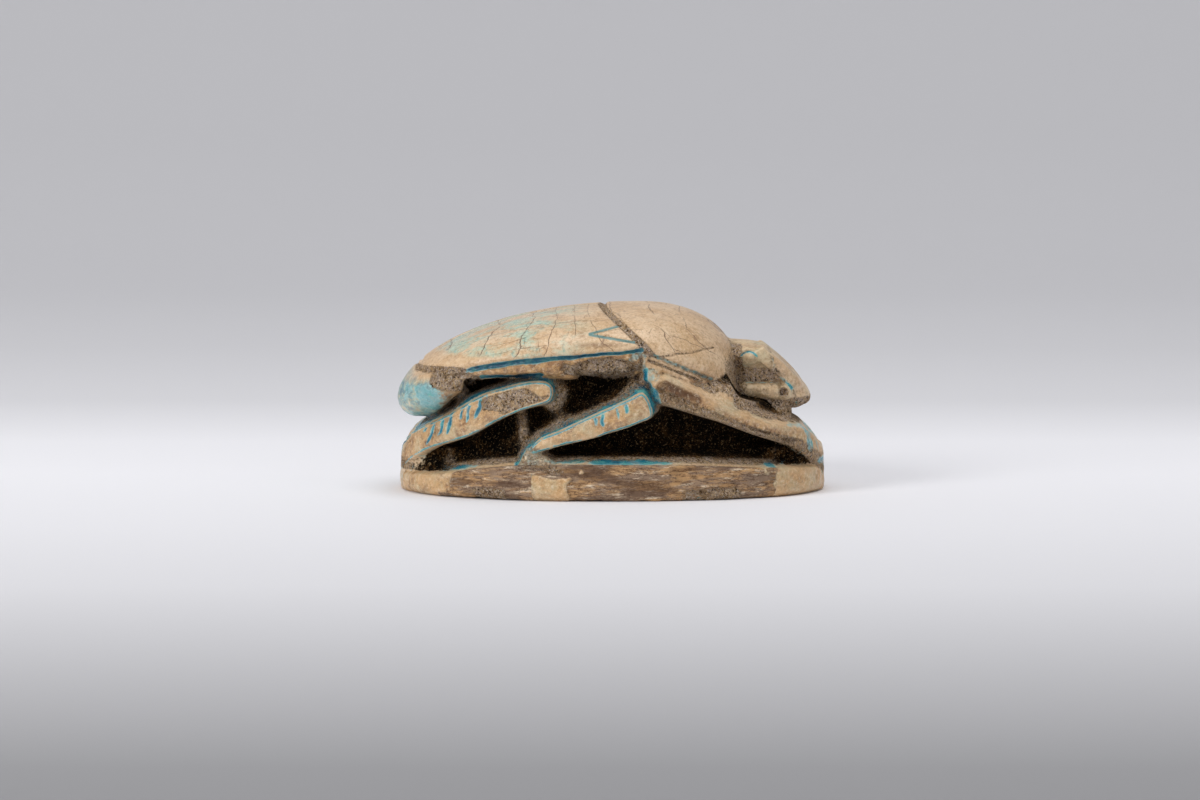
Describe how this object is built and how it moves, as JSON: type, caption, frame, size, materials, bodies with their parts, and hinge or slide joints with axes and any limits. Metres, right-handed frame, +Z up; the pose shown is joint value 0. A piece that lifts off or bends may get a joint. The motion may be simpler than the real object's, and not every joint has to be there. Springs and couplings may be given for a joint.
{
  "type": "scarab amulet",
  "caption": "Beetle amulet carved in one piece with its flat oval base, with deep hollows between the legs and a lengthwise hole for a string.",
  "frame": {"origin": "middle of the flat underside", "axes": "+X towards the head, +Y towards the beetle's left side, +Z up out of the back"},
  "size_m": [0.022, 0.0154, 0.0096],
  "materials": {
    "glazed_steatite": "Worn cream steatite with a soft polish, remains of turquoise glaze in the cuts and on the tail, fine brown cracks, and grey-brown dust in the hollows"
  },
  "bodies": {
    "root": {"scarab": "glazed_steatite"}
  },
  "joints": []
}
